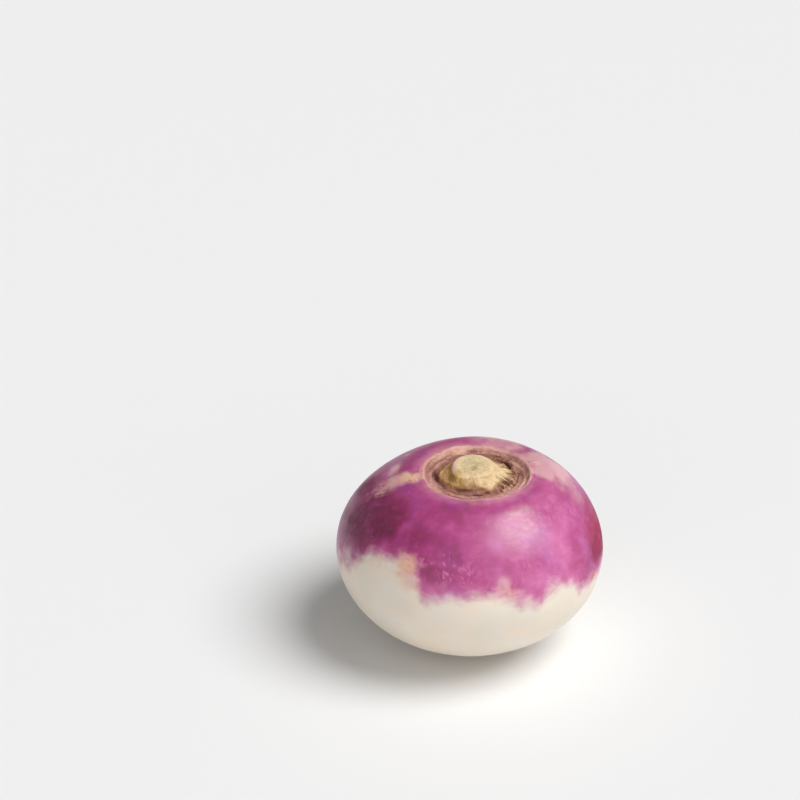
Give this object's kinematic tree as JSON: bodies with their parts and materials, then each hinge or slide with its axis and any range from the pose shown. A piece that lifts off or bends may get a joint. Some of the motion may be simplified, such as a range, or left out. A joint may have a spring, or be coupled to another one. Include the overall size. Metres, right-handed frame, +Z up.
{
  "type": "turnip",
  "caption": "Round purple-top turnip, trimmed at crown and root, standing on the flat of its root cut.",
  "frame": {"origin": "on the plane of the root cut that the turnip stands on, below the middle of its outline", "axes": "+Z up through the crown, -Y towards the viewer, +X to the viewer's right"},
  "size_m": [0.0864, 0.0854, 0.0633],
  "materials": {
    "turnip_skin": "satin"
  },
  "bodies": {
    "root": {"turnip": "turnip_skin"}
  },
  "joints": []
}
